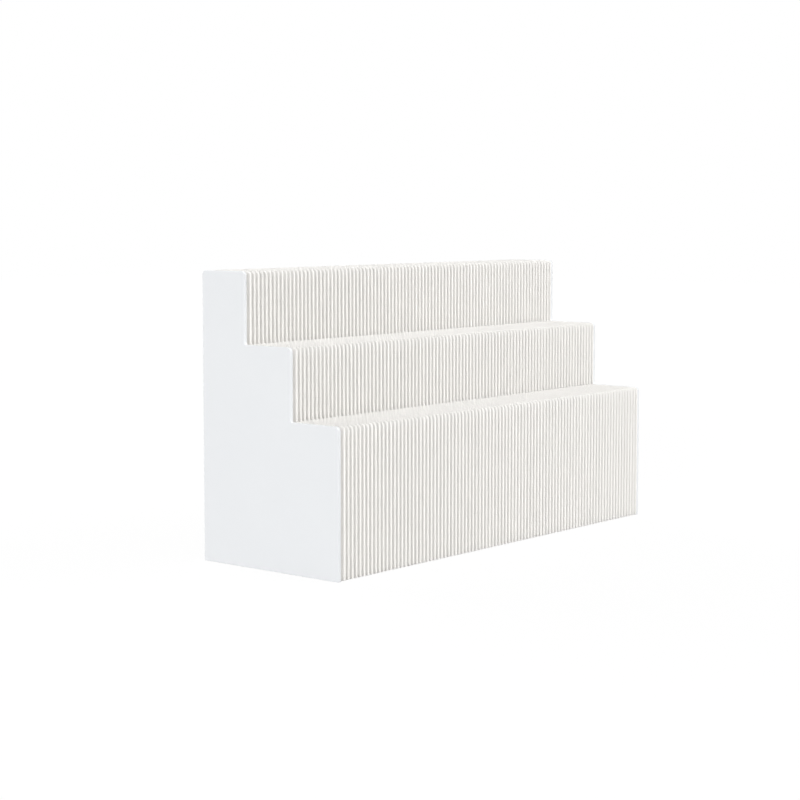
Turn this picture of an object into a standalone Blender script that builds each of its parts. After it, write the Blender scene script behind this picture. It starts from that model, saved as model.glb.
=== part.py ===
"""Folding three-step display stand, pulled out to its full length.

Two rigid stepped end boards hold a honeycomb of stepped paper leaves. The leaves are glued
together in vertical stripes, so the paper opens and closes along X like an accordion. The origin
is on the floor under the middle of the stand, the steps face -Y and +Z is up.
"""
import math

import bmesh
import bpy

# Overall sizes, in metres
OPEN_LENGTH = 1.000  # over both end boards, pulled out
BASE_RISE = 0.284  # floor to the lowest tread
STEP_RISE = 0.138  # each of the two upper risers
TREAD_DEPTH = 0.1175  # lowest and middle treads, riser to riser
TOP_DEPTH = 0.111  # top tread, riser to rear

# End boards
BOARD_THICKNESS = 0.007
BOARD_EDGE_RADIUS = 0.0008  # softened arris round both faces
NOSE_RADIUS = 0.008  # the three noses
REAR_RADIUS = 0.008  # upper rear corner
INNER_RADIUS = 0.003  # where a riser meets the tread below it
FOOT_RADIUS = 0.002  # lower front and rear corners

# Paper honeycomb
SECTION_COUNT = 45  # lengths of honeycomb along the stand
LEAF_THICKNESS = 0.0004
GLUE_GAP = 0.0003  # film between a section and its neighbour or board
GLUE_LAP = 0.0001  # how far leaves glued inside a section sink into each other
LEAF_NOSE_CUT = NOSE_RADIUS * math.sqrt(2 - math.pi / 2)  # flat cut of the same area as the round

ARC_STEPS = 4  # facets of each rounded corner
TRIM_MARGIN = 0.010  # how far raw leaves run past the outline that trims them

TREAD_DEPTHS = (TREAD_DEPTH, TREAD_DEPTH, TOP_DEPTH)
TOTAL_DEPTH = sum(TREAD_DEPTHS)
TOTAL_RISE = BASE_RISE + 2 * STEP_RISE
FRONT = -TOTAL_DEPTH / 2
REAR = TOTAL_DEPTH / 2
RISERS = (FRONT, FRONT + TREAD_DEPTH, FRONT + 2 * TREAD_DEPTH)
TREADS = (BASE_RISE, BASE_RISE + STEP_RISE, TOTAL_RISE)

INNER_FACE = OPEN_LENGTH / 2 - BOARD_THICKNESS
SECTION_LENGTH = (2 * INNER_FACE - GLUE_GAP) / SECTION_COUNT


def clear_scene():
    for item in list(bpy.data.objects):
        bpy.data.objects.remove(item, do_unlink=True)


def make_material(name, colour, roughness):
    """A non-metallic Principled BSDF of one linear colour."""
    material = bpy.data.materials.new(name)
    material.use_nodes = True
    shader = material.node_tree.nodes["Principled BSDF"]
    shader.inputs["Base Color"].default_value = (*colour, 1.0)
    shader.inputs["Roughness"].default_value = roughness
    shader.inputs["Metallic"].default_value = 0.0
    return material


def rounded_corner(before, corner, after, radius, steps):
    """Points of the arc that rounds a square corner; one step cuts it flat."""
    if radius <= 0:
        return [corner]
    toward_before = [(b - c) / math.dist(before, corner) for b, c in zip(before, corner)]
    toward_after = [(a - c) / math.dist(after, corner) for a, c in zip(after, corner)]
    points = []
    for step in range(steps + 1):
        angle = math.pi / 2 * step / steps
        along_before = radius * (1 - math.sin(angle))
        along_after = radius * (1 - math.cos(angle))
        sides = zip(corner, toward_before, toward_after)
        points.append(tuple(c + along_before * b + along_after * a for c, b, a in sides))
    return points


def stepped_outline(nose, inner, rear, foot, steps):
    """The stand's side view as (y, z) points, with a radius for each kind of corner."""
    corners = [((FRONT, 0.0), foot)]
    for riser, tread, next_riser in zip(RISERS, TREADS, RISERS[1:]):
        corners += [((riser, tread), nose), ((next_riser, tread), inner)]
    corners += [((RISERS[-1], TOTAL_RISE), nose), ((REAR, TOTAL_RISE), rear), ((REAR, 0.0), foot)]
    outline = []
    for index, (corner, radius) in enumerate(corners):
        before = corners[index - 1][0]
        after = corners[(index + 1) % len(corners)][0]
        outline += rounded_corner(before, corner, after, radius, steps)
    return outline


def extruded(mesh, points, direction):
    """Adds the closed prism of a polygon swept along a direction to a bmesh."""
    base = mesh.faces.new([mesh.verts.new(point) for point in points])
    top = bmesh.ops.extrude_face_region(mesh, geom=[base])
    moved = [item for item in top["geom"] if isinstance(item, bmesh.types.BMVert)]
    bmesh.ops.translate(mesh, verts=moved, vec=direction)


def outline_prism(name, outline, low_x, high_x):
    """A mesh of a side view swept from low_x to high_x."""
    mesh = bmesh.new()
    extruded(mesh, [(low_x, y, z) for y, z in outline], (high_x - low_x, 0.0, 0.0))
    bmesh.ops.recalc_face_normals(mesh, faces=mesh.faces)
    data = bpy.data.meshes.new(name)
    mesh.to_mesh(data)
    mesh.free()
    return data


def place(name, data, material, x):
    """A named object at a place along the slide, which runs along X."""
    if not data.materials:
        data.materials.append(material)
    item = bpy.data.objects.new(name, data)
    item.location = (x, 0.0, 0.0)
    bpy.context.scene.collection.objects.link(item)
    return item


def end_board(name, material, side):
    """One stepped board; its origin is on its inner face, where the paper is glued."""
    low_x, high_x = sorted((0.0, side * BOARD_THICKNESS))
    outline = stepped_outline(NOSE_RADIUS, INNER_RADIUS, REAR_RADIUS, FOOT_RADIUS, ARC_STEPS)
    data = outline_prism(name, outline, low_x, high_x)
    board = place(name, data, material, side * INNER_FACE)
    arris = board.modifiers.new("arris", "BEVEL")
    arris.width = BOARD_EDGE_RADIUS
    arris.segments = 1
    arris.limit_method = "ANGLE"
    arris.angle_limit = math.radians(45)
    return board


def leaf_stations():
    """(y, share) along a leaf: share 0 where it is glued at a ridge, 1 at a fold between ridges."""
    ridges = [*RISERS, REAR]
    stations = [(FRONT - TRIM_MARGIN, 0.0), (FRONT, 0.0)]
    for near, far in zip(ridges, ridges[1:]):
        stations += [((near + far) / 2, 1.0), (far, 0.0)]
    stations.append((REAR + TRIM_MARGIN, 0.0))
    return stations


def leaf_strip(ridge_x, fold_x):
    """A folded leaf seen from above; its faces pass through ridge_x at ridges and fold_x at folds.

    Each of ridge_x and fold_x is the pair of the leaf's left and right faces.
    """
    stations = leaf_stations()
    faces = []
    for at_ridge, at_fold in zip(ridge_x, fold_x):
        faces.append([(at_ridge + share * (at_fold - at_ridge), y) for y, share in stations])
    return faces[0] + faces[1][::-1]


def section_mesh():
    """Two cells of honeycomb along X, cut to the stepped outline.

    The middle ridge is a pair of leaves glued together. A single leaf on each side of it is glued
    to the pair at the folds, and its own ridge stripes meet the next section or an end board.
    """
    half = SECTION_LENGTH / 2
    fold = half / 2
    outer_ridge = half - GLUE_GAP / 2
    raw = bmesh.new()
    for side in (-1, 1):
        outer_leaf = leaf_strip(
            (side * outer_ridge, side * (outer_ridge - LEAF_THICKNESS)),
            (side * (fold - GLUE_LAP + LEAF_THICKNESS), side * (fold - GLUE_LAP)),
        )
        inner_leaf = leaf_strip(
            (side * LEAF_THICKNESS, -side * GLUE_LAP),
            (side * (fold + GLUE_LAP), side * (fold + GLUE_LAP - LEAF_THICKNESS)),
        )
        for strip in (outer_leaf, inner_leaf):
            points = [(x, y, -TRIM_MARGIN) for x, y in strip]
            extruded(raw, points, (0.0, 0.0, TOTAL_RISE + 2 * TRIM_MARGIN))
    bmesh.ops.recalc_face_normals(raw, faces=raw.faces)
    data = bpy.data.meshes.new("raw_honeycomb")
    raw.to_mesh(data)
    raw.free()

    outline = stepped_outline(LEAF_NOSE_CUT, 0.0, 0.0, 0.0, 1)
    cutter_data = outline_prism("section_outline", outline, -SECTION_LENGTH, SECTION_LENGTH)
    cutter = bpy.data.objects.new("section_outline", cutter_data)
    core = bpy.data.objects.new("raw_honeycomb", data)
    for item in (cutter, core):
        bpy.context.scene.collection.objects.link(item)
    trim = core.modifiers.new("trim", "BOOLEAN")
    trim.operation = "INTERSECT"
    trim.solver = "EXACT"
    trim.use_self = True
    trim.object = cutter
    trimmed = core.evaluated_get(bpy.context.evaluated_depsgraph_get())
    section = bpy.data.meshes.new_from_object(trimmed)
    section.name = "pleat_section"
    for item in (cutter, core):
        bpy.data.objects.remove(item, do_unlink=True)
    return section


def pleat_sections(material):
    """Every section of the honeycomb; all share one mesh, each with its origin at its middle."""
    data = section_mesh()
    for index in range(SECTION_COUNT):
        x = (index - (SECTION_COUNT - 1) / 2) * SECTION_LENGTH
        place(f"pleat_section_{index + 1:02d}", data, material, x)


clear_scene()
board_paint = make_material("white_board", (0.84, 0.85, 0.86), 0.5)
paper = make_material("white_paper", (0.92, 0.91, 0.86), 0.9)
end_board("left_end_board", board_paint, -1)
end_board("right_end_board", board_paint, 1)
pleat_sections(paper)
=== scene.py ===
"""A white three-step folding display stand: pleated honeycomb paper between two stepped end boards."""

import math

import bpy
import numpy as np
from mathutils import Euler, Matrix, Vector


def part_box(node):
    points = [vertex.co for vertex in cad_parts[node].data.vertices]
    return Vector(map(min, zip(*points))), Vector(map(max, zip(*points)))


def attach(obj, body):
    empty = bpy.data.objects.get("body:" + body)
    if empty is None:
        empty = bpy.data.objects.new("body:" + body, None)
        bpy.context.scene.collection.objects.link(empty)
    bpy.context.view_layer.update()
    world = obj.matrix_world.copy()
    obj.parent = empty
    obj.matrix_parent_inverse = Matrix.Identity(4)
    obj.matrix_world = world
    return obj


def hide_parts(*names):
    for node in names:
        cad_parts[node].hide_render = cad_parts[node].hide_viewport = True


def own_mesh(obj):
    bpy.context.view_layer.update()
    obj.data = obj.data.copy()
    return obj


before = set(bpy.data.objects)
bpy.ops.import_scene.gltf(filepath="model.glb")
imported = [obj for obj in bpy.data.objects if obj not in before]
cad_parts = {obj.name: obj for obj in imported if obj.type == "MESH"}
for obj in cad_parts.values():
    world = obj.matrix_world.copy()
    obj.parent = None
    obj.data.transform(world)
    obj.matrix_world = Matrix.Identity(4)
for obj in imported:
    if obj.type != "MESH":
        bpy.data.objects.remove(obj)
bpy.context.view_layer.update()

# End boards
# Two stepped sheets of 7 mm board, sawn to the same outline with the corners rounded over and the
# arrises sanded soft, then rolled with matt white paint. The outermost paper leaf is glued to each.
STEP_COUNT = 3
BASE_RISE = 0.284
STEP_RISE = 0.138
TREAD_DEPTH = 0.1175
NOSE_RADIUS = 0.008
INNER_RADIUS = 0.003
FOOT_RADIUS = 0.002
ARRIS_RADIUS = 0.0008
BOARD_ARC_STEPS = 10
ARRIS_STEPS = 4
PAINT_DARKER = (0.893, 0.911, 0.931, 1.0)
PAINT_LIGHTER = (0.921, 0.937, 0.953, 1.0)

board_low, board_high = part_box("left_end_board")
FRONT, REAR = board_low.y, board_high.y
TOP = board_high.z
RISERS = FRONT + TREAD_DEPTH * np.arange(STEP_COUNT)
TREADS = BASE_RISE + STEP_RISE * np.arange(STEP_COUNT)


def corner_arc(centre, radius, start, sweep, steps):
    """A quarter round in the side view: points on a circle about the centre, with outward normals.

    Angles run from the rear, +Y, towards the top, +Z. A hollow corner sweeps the other way round its
    centre, so its normals point at that centre.
    """
    angles = start + sweep * np.linspace(0, 1, steps + 1)
    spokes = np.stack([np.cos(angles), np.sin(angles)], axis=1)
    return np.asarray(centre) + radius * spokes, -np.sign(sweep) * spokes


def board_outline(steps):
    """The stepped side view as a closed run of quarter rounds: feet, noses and hollow corners."""
    quarter = math.pi / 2
    front_foot = (FRONT + FOOT_RADIUS, FOOT_RADIUS)
    arcs = [corner_arc(front_foot, FOOT_RADIUS, 3 * quarter, -quarter, steps)]
    for index, (riser, tread) in enumerate(zip(RISERS, TREADS)):
        if index:
            hollow = (riser - INNER_RADIUS, TREADS[index - 1] + INNER_RADIUS)
            arcs.append(corner_arc(hollow, INNER_RADIUS, 3 * quarter, quarter, steps))
        nose = (riser + NOSE_RADIUS, tread - NOSE_RADIUS)
        arcs.append(corner_arc(nose, NOSE_RADIUS, 2 * quarter, -quarter, steps))
    rear_top = (REAR - NOSE_RADIUS, TOP - NOSE_RADIUS)
    arcs.append(corner_arc(rear_top, NOSE_RADIUS, quarter, -quarter, steps))
    rear_foot = (REAR - FOOT_RADIUS, FOOT_RADIUS)
    arcs.append(corner_arc(rear_foot, FOOT_RADIUS, 0.0, -quarter, steps))
    points = np.concatenate([arc[0] for arc in arcs])
    normals = np.concatenate([arc[1] for arc in arcs])
    return points, normals


def stepped_board(name, low_x, high_x):
    """A board's surface: its edge section, a flat band between two rounds, carried round the outline.

    The section is a list of places across the thickness with their distance in from the outline. Each
    ring of the grid is the outline drawn in by that distance along its normals, and a flat face closes
    each end of the band.
    """
    outline, normals = board_outline(BOARD_ARC_STEPS)
    turn = np.linspace(0, math.pi / 2, ARRIS_STEPS + 1)
    inset = ARRIS_RADIUS * (1 - np.sin(turn))
    across = ARRIS_RADIUS * (1 - np.cos(turn))
    ring_inset = np.concatenate([inset, inset[::-1]])
    ring_x = np.concatenate([low_x + across, high_x - across[::-1]])
    rings, count = len(ring_x), len(outline)

    flat = outline[None] - ring_inset[:, None, None] * normals[None]
    points = np.empty((rings, count, 3))
    points[..., 0] = ring_x[:, None]
    points[..., 1:] = flat
    index = np.arange(rings * count).reshape(rings, count)
    after = np.roll(index, -1, axis=1)
    band = np.stack([index[:-1], index[1:], after[1:], after[:-1]], axis=-1).reshape(-1, 4)
    faces = band.tolist() + [index[0].tolist(), index[-1, ::-1].tolist()]

    mesh = bpy.data.meshes.new(name)
    mesh.from_pydata(points.reshape(-1, 3), [], faces)
    smooth = np.ones(len(faces), bool)
    smooth[-2:] = False  # the two large faces are flat
    mesh.polygons.foreach_set("use_smooth", smooth)
    mesh.update()
    board = bpy.data.objects.new(name, mesh)
    bpy.context.scene.collection.objects.link(board)
    return board


def node(tree, kind, **settings):
    """A new shader node. Each setting is a property or an input socket, with underscores for spaces."""
    made = tree.nodes.new(kind)
    for key, value in settings.items():
        if hasattr(made, key):
            setattr(made, key, value)
        else:
            made.inputs[key.replace("_", " ")].default_value = value
    return made


def matt_paint():
    """Rolled matt white: a faint cloudy tone, a fine roller stipple and slightly uneven sheen."""
    material = bpy.data.materials.new("matt_white_paint")
    material.use_nodes = True
    tree = material.node_tree
    shader = tree.nodes["Principled BSDF"]
    shader.inputs["Specular IOR Level"].default_value = 0.3
    where = node(tree, "ShaderNodeTexCoord").outputs["Object"]

    cloud = node(tree, "ShaderNodeTexNoise", Scale=7.0, Detail=4.0, Roughness=0.55)
    tone = node(tree, "ShaderNodeMix", data_type="RGBA")
    tone.inputs["A"].default_value = PAINT_DARKER
    tone.inputs["B"].default_value = PAINT_LIGHTER
    stipple = node(tree, "ShaderNodeTexNoise", Scale=620.0, Detail=3.0, Roughness=0.6)
    sheen = node(tree, "ShaderNodeMapRange", To_Min=0.46, To_Max=0.60)
    bump = node(tree, "ShaderNodeBump", Strength=0.12, Distance=0.0002)
    for texture in (cloud, stipple):
        tree.links.new(where, texture.inputs["Vector"])
    tree.links.new(cloud.outputs["Fac"], tone.inputs["Factor"])
    tree.links.new(tone.outputs["Result"], shader.inputs["Base Color"])
    tree.links.new(stipple.outputs["Fac"], sheen.inputs["Value"])
    tree.links.new(sheen.outputs["Result"], shader.inputs["Roughness"])
    tree.links.new(stipple.outputs["Fac"], bump.inputs["Height"])
    tree.links.new(bump.outputs["Normal"], shader.inputs["Normal"])
    return material


paint = matt_paint()
for body in ("left_end_board", "right_end_board"):
    low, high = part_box(body)
    board = stepped_board(body.replace("end_board", "painted_board"), low.x, high.x)
    board.data.materials.append(paint)
    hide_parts(body)
    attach(board, body)

# Pleats
# Stiff white paper leaves, die-cut to the stepped outline and glued to their neighbours in upright
# stripes, in turn on one side and on the other. Pulled out, they open into a honeycomb whose ridges
# are glued pairs of leaves. Four leaves make up each section of the frame.
LEAF_THICKNESS = 0.0004
GLUE_FILM = 0.00005
GLUE_STRIPE = 0.006
CELLS_PER_TREAD = 4
RISER_LEAN = 0.00002
NOSE_STEPS = 5
HOLLOW_STEPS = 3
SHARP_ANGLE = 40.0
RIDGE_SHIFT = 0.0018
PAPER_DARKER = (0.920, 0.908, 0.887, 1.0)
PAPER_LIGHTER = (0.959, 0.947, 0.925, 1.0)
PULP_SHARE = 0.5
SEED = 11
rng = np.random.default_rng(SEED)


def glue_stripes():
    """Both edges of each upright glue stripe, front to rear, and its side: 0 at a ridge, 1 at a fold.

    Ridges and folds take turns at even steps from riser to riser, with the same number of cells on each
    tread, so that a ridge stands in every riser and at the rear.
    """
    steps = 2 * CELLS_PER_TREAD
    places = np.arange(STEP_COUNT * steps + 1) / steps
    lines = np.interp(places, np.arange(STEP_COUNT + 1), np.append(RISERS, REAR))
    edges = lines[:, None] + GLUE_STRIPE / 2 * np.array([-1, 1])
    return edges.ravel(), np.repeat(np.arange(len(lines)) % 2, 2)


def leaf_stations():
    """Places along a leaf, front to rear: depth y, lower and upper edge, share of the way to a fold.

    The upper edge goes round each nose, along its tread and up the hollow corner to the next riser. A
    riser leans back by a hair, so that each place has one height. The lower edge lifts at the feet. The
    share is 0 along a ridge stripe and 1 along a fold stripe, on a straight wall between them.
    """
    turn = np.linspace(0, math.pi / 2, NOSE_STEPS + 1)
    depth, height = [], []
    for step, (riser, tread) in enumerate(zip(RISERS, TREADS)):
        last = step == len(RISERS) - 1
        far = REAR if last else RISERS[step + 1] - RISER_LEAN
        radius = NOSE_RADIUS if last else INNER_RADIUS
        rise = -radius if last else radius
        away = np.linspace(0, math.pi / 2, (NOSE_STEPS if last else HOLLOW_STEPS) + 1)
        depth += [riser + NOSE_RADIUS * (1 - np.cos(turn)), far - radius * (1 - np.sin(away))]
        height += [tread - NOSE_RADIUS * (1 - np.sin(turn)), tread + rise * (1 - np.cos(away))]
    outline_y, outline_z = np.concatenate(depth), np.concatenate(height)

    edges, sides = glue_stripes()
    y = np.sort(np.concatenate([outline_y, edges[1:-1]]))
    upper = np.interp(y, outline_y, outline_z)
    inward = np.clip(np.minimum(y - FRONT, REAR - y), 0, FOOT_RADIUS)
    lower = FOOT_RADIUS - np.sqrt(FOOT_RADIUS**2 - (FOOT_RADIUS - inward) ** 2)
    return y, lower, upper, np.interp(y, edges, sides)


def pleat_section(name, left, middle, right):
    """Four leaves between three ridges, each a closed strip: a row of rings with four corners.

    A leaf's middle line is x = ridge + share * (fold - ridge), and its two faces lie half the paper's
    thickness either side. A fold is midway between two ridges. Leaves 1 and 4 meet the next section at
    the left and right ridges, and leaves 2 and 3 meet each other at the middle one.
    """
    y, lower, upper, share = leaf_stations()
    off = (LEAF_THICKNESS + GLUE_FILM) / 2
    ridge = np.array([left + off, middle - off, middle + off, right - off])
    fold = np.repeat([(left + middle) / 2, (middle + right) / 2], 2) + off * np.array([-1, 1, -1, 1])
    line = ridge[:, None] + share[None] * (fold - ridge)[:, None]

    leaves, count = line.shape
    points = np.empty((leaves, count, 4, 3))
    points[..., 0] = line[..., None] + LEAF_THICKNESS / 2 * np.array([-1, -1, 1, 1])
    points[..., 1] = y[None, :, None]
    points[..., 2] = np.stack([lower, upper, upper, lower], axis=-1)[None]
    index = np.arange(points.size // 3).reshape(leaves, count, 4)
    around = np.roll(index, -1, axis=2)
    sides = np.stack([index[:, :-1], index[:, 1:], around[:, 1:], around[:, :-1]], axis=-1)
    ends = np.concatenate([index[:, 0], index[:, -1, ::-1]])
    faces = np.concatenate([sides.reshape(-1, 4), ends])

    mesh = bpy.data.meshes.new(name)
    mesh.from_pydata(points.reshape(-1, 3), [], faces.tolist())
    mesh.polygons.foreach_set("use_smooth", np.ones(len(faces), bool))
    mesh.set_sharp_from_angle(angle=math.radians(SHARP_ANGLE))
    tone = np.repeat(rng.random(leaves), count * 4)
    mesh.attributes.new("leaf_tone", "FLOAT", "POINT").data.foreach_set("value", tone.astype(np.float32))
    mesh.update()
    section = bpy.data.objects.new(name, mesh)
    bpy.context.scene.collection.objects.link(section)
    return section


def uncoated_paper():
    """Uncoated warm white paper: a tone of its own for each leaf, pulp cloudiness, and a fine tooth."""
    material = bpy.data.materials.new("uncoated_paper")
    material.use_nodes = True
    tree = material.node_tree
    shader = tree.nodes["Principled BSDF"]
    shader.inputs["Specular IOR Level"].default_value = 0.1
    where = node(tree, "ShaderNodeTexCoord").outputs["Object"]

    leaf = node(tree, "ShaderNodeAttribute", attribute_name="leaf_tone")
    pulp = node(tree, "ShaderNodeTexNoise", Scale=240.0, Detail=5.0, Roughness=0.65)
    blend = node(tree, "ShaderNodeMath", operation="MULTIPLY_ADD")
    blend.inputs[1].default_value = PULP_SHARE
    tone = node(tree, "ShaderNodeMix", data_type="RGBA")
    tone.inputs["A"].default_value = PAPER_DARKER
    tone.inputs["B"].default_value = PAPER_LIGHTER
    leaf_part = node(tree, "ShaderNodeMath", operation="MULTIPLY")
    leaf_part.inputs[1].default_value = 1 - PULP_SHARE
    tooth = node(tree, "ShaderNodeTexNoise", Scale=1500.0, Detail=2.0, Roughness=0.7)
    matt = node(tree, "ShaderNodeMapRange", To_Min=0.84, To_Max=0.96)
    bump = node(tree, "ShaderNodeBump", Strength=0.10, Distance=0.0001)
    for texture in (pulp, tooth):
        tree.links.new(where, texture.inputs["Vector"])
    tree.links.new(leaf.outputs["Fac"], leaf_part.inputs[0])
    tree.links.new(pulp.outputs["Fac"], blend.inputs[0])
    tree.links.new(leaf_part.outputs["Value"], blend.inputs[2])
    tree.links.new(blend.outputs["Value"], tone.inputs["Factor"])
    tree.links.new(tone.outputs["Result"], shader.inputs["Base Color"])
    tree.links.new(pulp.outputs["Fac"], matt.inputs["Value"])
    tree.links.new(matt.outputs["Result"], shader.inputs["Roughness"])
    tree.links.new(tooth.outputs["Fac"], bump.inputs["Height"])
    tree.links.new(bump.outputs["Normal"], shader.inputs["Normal"])
    return material


paper = uncoated_paper()
section_nodes = sorted(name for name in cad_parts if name.startswith("pleat_section"))
inner_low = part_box("left_end_board")[1].x
inner_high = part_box("right_end_board")[0].x
ridges = np.linspace(inner_low, inner_high, 2 * len(section_nodes) + 1)
# The inner ridges stand off centre, so the first groove is the widest and the last the narrowest.
ridges[1:-1] += RIDGE_SHIFT
for number, body in enumerate(section_nodes):
    name = body.replace("pleat_section", "paper_pleats")
    section = pleat_section(name, *ridges[2 * number : 2 * number + 3])
    section.data.materials.append(paper)
    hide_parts(body)
    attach(section, body)
    low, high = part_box(body)
    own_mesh(section)

# Floor
# A wide, plain, pale matt studio floor. The camera sees it as white as the backdrop, with a faint
# shadow of the stand. For the light that it throws back it is plain matt.
FLOOR_HALF = 12.0
FLOOR_DROP = 0.0002
FLOOR_COLOUR = (0.45, 0.45, 0.45, 1.0)
FLOOR_GLOW = 1.119
SHADOW_SHARE = 0.17


def seen_directly(tree):
    """1 for a ray from the camera, a mirror or a glass, and 0 for a ray that gathers light."""
    path = node(tree, "ShaderNodeLightPath")
    most = path.outputs["Is Camera Ray"]
    for kind in ("Is Glossy Ray", "Is Transmission Ray"):
        larger = node(tree, "ShaderNodeMath", operation="MAXIMUM")
        tree.links.new(most, larger.inputs[0])
        tree.links.new(path.outputs[kind], larger.inputs[1])
        most = larger.outputs["Value"]
    return most


def studio_floor():
    """A square of ground, pale matt, mixed with white light where the camera or a mirror sees it."""
    corners = FLOOR_HALF * np.array([(-1, -1), (1, -1), (1, 1), (-1, 1)])
    points = np.column_stack([corners, np.full(4, -FLOOR_DROP)])
    mesh = bpy.data.meshes.new("floor")
    mesh.from_pydata(points, [], [(0, 1, 2, 3)])
    floor = bpy.data.objects.new("floor", mesh)
    bpy.context.scene.collection.objects.link(floor)

    material = bpy.data.materials.new("studio_white")
    material.use_nodes = True
    tree = material.node_tree
    tree.nodes.remove(tree.nodes["Principled BSDF"])
    matt = node(tree, "ShaderNodeBsdfDiffuse", Color=FLOOR_COLOUR)
    glow = node(tree, "ShaderNodeEmission", Strength=FLOOR_GLOW)
    mix = node(tree, "ShaderNodeMixShader")
    share = node(tree, "ShaderNodeMath", operation="MULTIPLY")
    share.inputs[1].default_value = 1 - SHADOW_SHARE
    tree.links.new(seen_directly(tree), share.inputs[0])
    tree.links.new(share.outputs["Value"], mix.inputs["Fac"])
    tree.links.new(matt.outputs["BSDF"], mix.inputs[1])
    tree.links.new(glow.outputs["Emission"], mix.inputs[2])
    tree.links.new(mix.outputs["Shader"], tree.nodes["Material Output"].inputs["Surface"])
    mesh.materials.append(material)
    return floor


studio_floor()

# Studio light
# A white tent with three brighter panels, which fill the front, the rear and the treads, and one large
# soft lamp. The lamp is low and nearly square to the left board, and rakes across the pleats, where each
# ridge shades the next. Angles are in degrees, and turns count from the left end round by the front.
TENT_LEVEL = 0.44
HORIZON = 0.03
PANELS = (
    {"glow": 2.82, "half_width": 35.0, "round_from_left": 138.0, "height": 20.0},
    {"glow": 4.40, "half_width": 30.0, "round_from_left": 255.0, "height": 15.0},
    {"glow": 1.08, "half_width": 35.0, "round_from_left": 60.0, "height": 65.0},
)
LAMP_LEVEL = 1.485
LAMP_SPREAD = 16.0
LAMP_ROUND_FROM_LEFT = 19.0
LAMP_HEIGHT = 11.0


def panel_glow(tree, looking, panel):
    """A panel's part of the tent's light: full at its middle, falling smoothly to none at its rim."""
    turn, height = math.radians(panel["round_from_left"]), math.radians(panel["height"])
    along = math.cos(height)
    facing = node(tree, "ShaderNodeVectorMath", operation="DOT_PRODUCT")
    facing.inputs[1].default_value = (-math.cos(turn) * along, -math.sin(turn) * along, math.sin(height))
    rim = math.cos(math.radians(panel["half_width"]))
    glow = node(tree, "ShaderNodeMapRange", interpolation_type="SMOOTHSTEP", From_Min=rim)
    glow.inputs["To Max"].default_value = panel["glow"]
    tree.links.new(looking, facing.inputs[0])
    tree.links.new(facing.outputs["Value"], glow.inputs["Value"])
    return glow.outputs["Result"]


def tent_level(tree):
    """The tent's light by direction: an even level above the horizon and none below, plus the panels."""
    looking = node(tree, "ShaderNodeTexCoord").outputs["Generated"]
    split = node(tree, "ShaderNodeSeparateXYZ")
    above = node(tree, "ShaderNodeMapRange", From_Min=-HORIZON, From_Max=HORIZON, To_Max=TENT_LEVEL)
    tree.links.new(looking, split.inputs["Vector"])
    tree.links.new(split.outputs["Z"], above.inputs["Value"])
    total = above.outputs["Result"]
    for panel in PANELS:
        brighter = node(tree, "ShaderNodeMath", operation="ADD")
        tree.links.new(total, brighter.inputs[0])
        tree.links.new(panel_glow(tree, looking, panel), brighter.inputs[1])
        total = brighter.outputs["Value"]
    return total


world = bpy.data.worlds.new("studio_tent")
bpy.context.scene.world = world
world.use_nodes = True
tent = world.node_tree
tent_light = tent.nodes["Background"]
tent_light.inputs["Color"].default_value = (1.0, 1.0, 1.0, 1.0)
tent.links.new(tent_level(tent), tent_light.inputs["Strength"])
backdrop = node(tent, "ShaderNodeBackground", Strength=1.0)
backdrop.inputs["Color"].default_value = (1.0, 1.0, 1.0, 1.0)
choose = node(tent, "ShaderNodeMixShader")
tent.links.new(seen_directly(tent), choose.inputs["Fac"])
tent.links.new(tent_light.outputs["Background"], choose.inputs[1])
tent.links.new(backdrop.outputs["Background"], choose.inputs[2])
tent.links.new(choose.outputs["Shader"], tent.nodes["World Output"].inputs["Surface"])

light = bpy.data.lights.new("left_lamp", "SUN")
light.energy = LAMP_LEVEL
light.angle = math.radians(LAMP_SPREAD)
lamp = bpy.data.objects.new("left_lamp", light)
lamp.rotation_euler = Euler((math.radians(90 - LAMP_HEIGHT), 0, math.radians(LAMP_ROUND_FROM_LEFT - 90)))
bpy.context.scene.collection.objects.link(lamp)

# Camera
# A long lens from the front left, a little above the top tread. The camera is tipped only slightly
# and its frame is shifted down, so upright lines stay nearly parallel.
CAMERA_PLACE = (-3.0275, -2.4247, 0.6783)
CAMERA_HEADING = 50.193
CAMERA_DIP = 4.605
CAMERA_LENS = 84.92
CAMERA_SHIFT = -0.05

view = bpy.data.cameras.new("camera")
view.lens = CAMERA_LENS
view.sensor_width = 36.0
view.shift_y = CAMERA_SHIFT
camera = bpy.data.objects.new("camera", view)
camera.location = CAMERA_PLACE
camera.rotation_euler = Euler((math.radians(90 - CAMERA_DIP), 0, math.radians(-CAMERA_HEADING)))
bpy.context.scene.collection.objects.link(camera)
bpy.context.scene.camera = camera
bpy.context.scene.view_settings.view_transform = "Standard"
